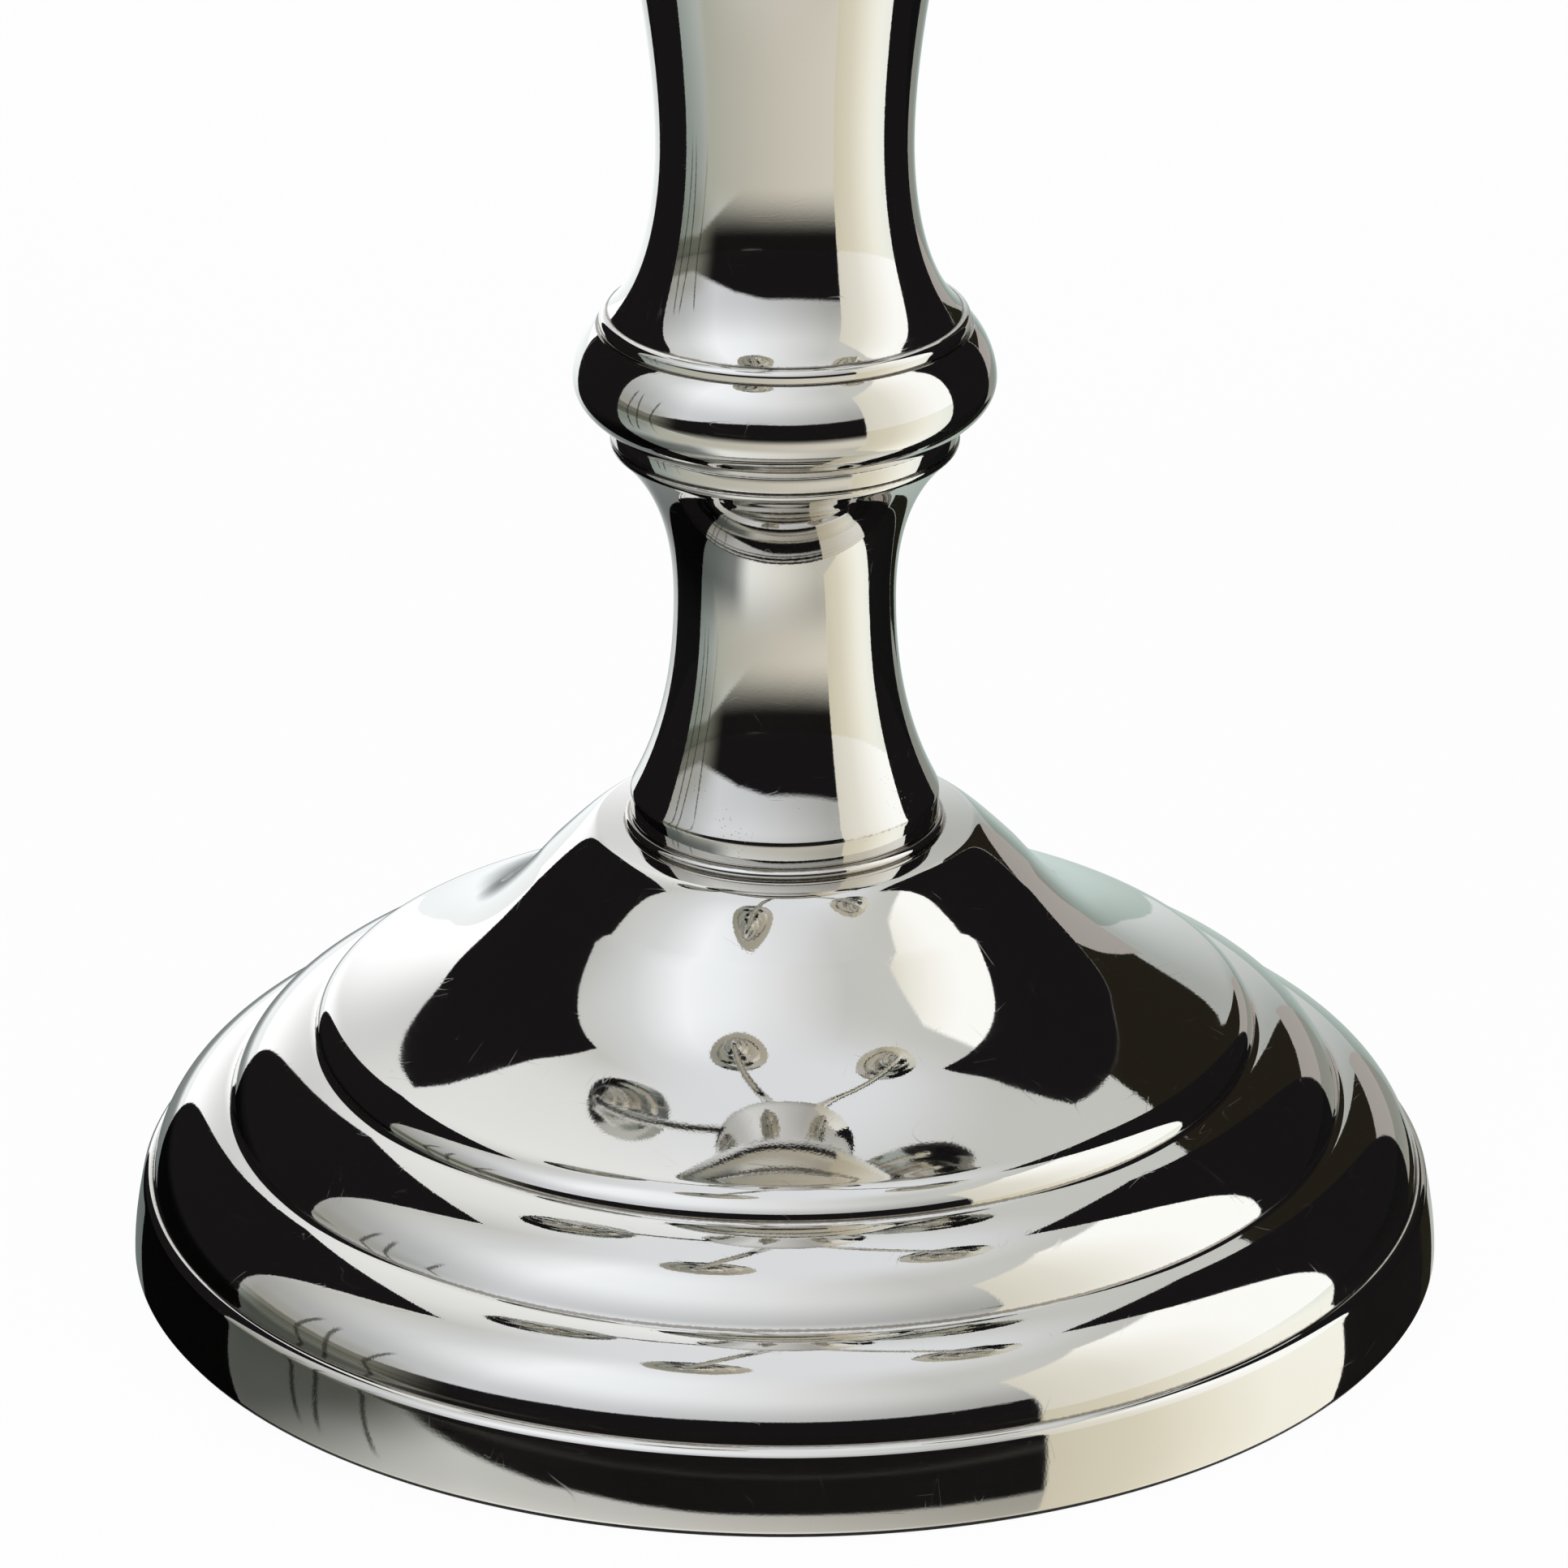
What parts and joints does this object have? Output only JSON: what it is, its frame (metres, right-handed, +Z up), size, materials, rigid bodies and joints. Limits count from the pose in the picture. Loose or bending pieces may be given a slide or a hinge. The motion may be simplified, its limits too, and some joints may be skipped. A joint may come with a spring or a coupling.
{
  "type": "candelabra",
  "caption": "Tabletop candelabra in mirror-polished metal: round stepped foot, turned stem with a knop, and S-curved branches that end in wide lift-off drip pans for taper candles.",
  "frame": {"origin": "on the table, under the centre of the foot", "axes": "+Z up along the stem, one branch along each of -Y, +X, +Y and -X"},
  "size_m": [0.288, 0.288, 0.281],
  "materials": {
    "nickel_foot": "mirror-polished nickel plate, warm tint",
    "nickel_stem": "mirror-polished nickel plate with faint turning marks",
    "nickel_arm": "polished nickel plate",
    "nickel_pan": "polished nickel plate",
    "steel": "zinc-plated, dull",
    "cast_iron": "raw casting",
    "felt": "pressed felt"
  },
  "bodies": {
    "holder": {"felt_pad": "felt", "base_plate": "steel", "foot_weight": "cast_iron", "foot_shell": "nickel_foot", "rod_nut": "steel", "rod_washer": "steel", "tie_rod": "steel", "seating_ring": "nickel_stem", "spool": "nickel_stem", "collar_disc": "nickel_stem", "knop": "nickel_stem", "upper_stem": "nickel_stem", "branch_hub": "nickel_stem", "finial": "nickel_stem", "arm_1": "nickel_arm", "socket_1": "nickel_pan", "socket_nut_1": "steel", "arm_2": "nickel_arm", "socket_2": "nickel_pan", "socket_nut_2": "steel", "arm_3": "nickel_arm", "socket_3": "nickel_pan", "socket_nut_3": "steel", "arm_4": "nickel_arm", "socket_4": "nickel_pan", "socket_nut_4": "steel"},
    "pan_1": {"nozzle_1": "nickel_pan"},
    "pan_2": {"nozzle_2": "nickel_pan"},
    "pan_3": {"nozzle_3": "nickel_pan"},
    "pan_4": {"nozzle_4": "nickel_pan"}
  },
  "joints": [
    {"name": "nozzle_1_lift", "type": "slide", "parent": "holder", "child": "pan_1", "axis": [0, 0, 1], "range_m": [0, 0.03]},
    {"name": "nozzle_2_lift", "type": "slide", "parent": "holder", "child": "pan_2", "axis": [0, 0, 1], "range_m": [0, 0.03]},
    {"name": "nozzle_3_lift", "type": "slide", "parent": "holder", "child": "pan_3", "axis": [0, 0, 1], "range_m": [0, 0.03]},
    {"name": "nozzle_4_lift", "type": "slide", "parent": "holder", "child": "pan_4", "axis": [0, 0, 1], "range_m": [0, 0.03]}
  ]
}
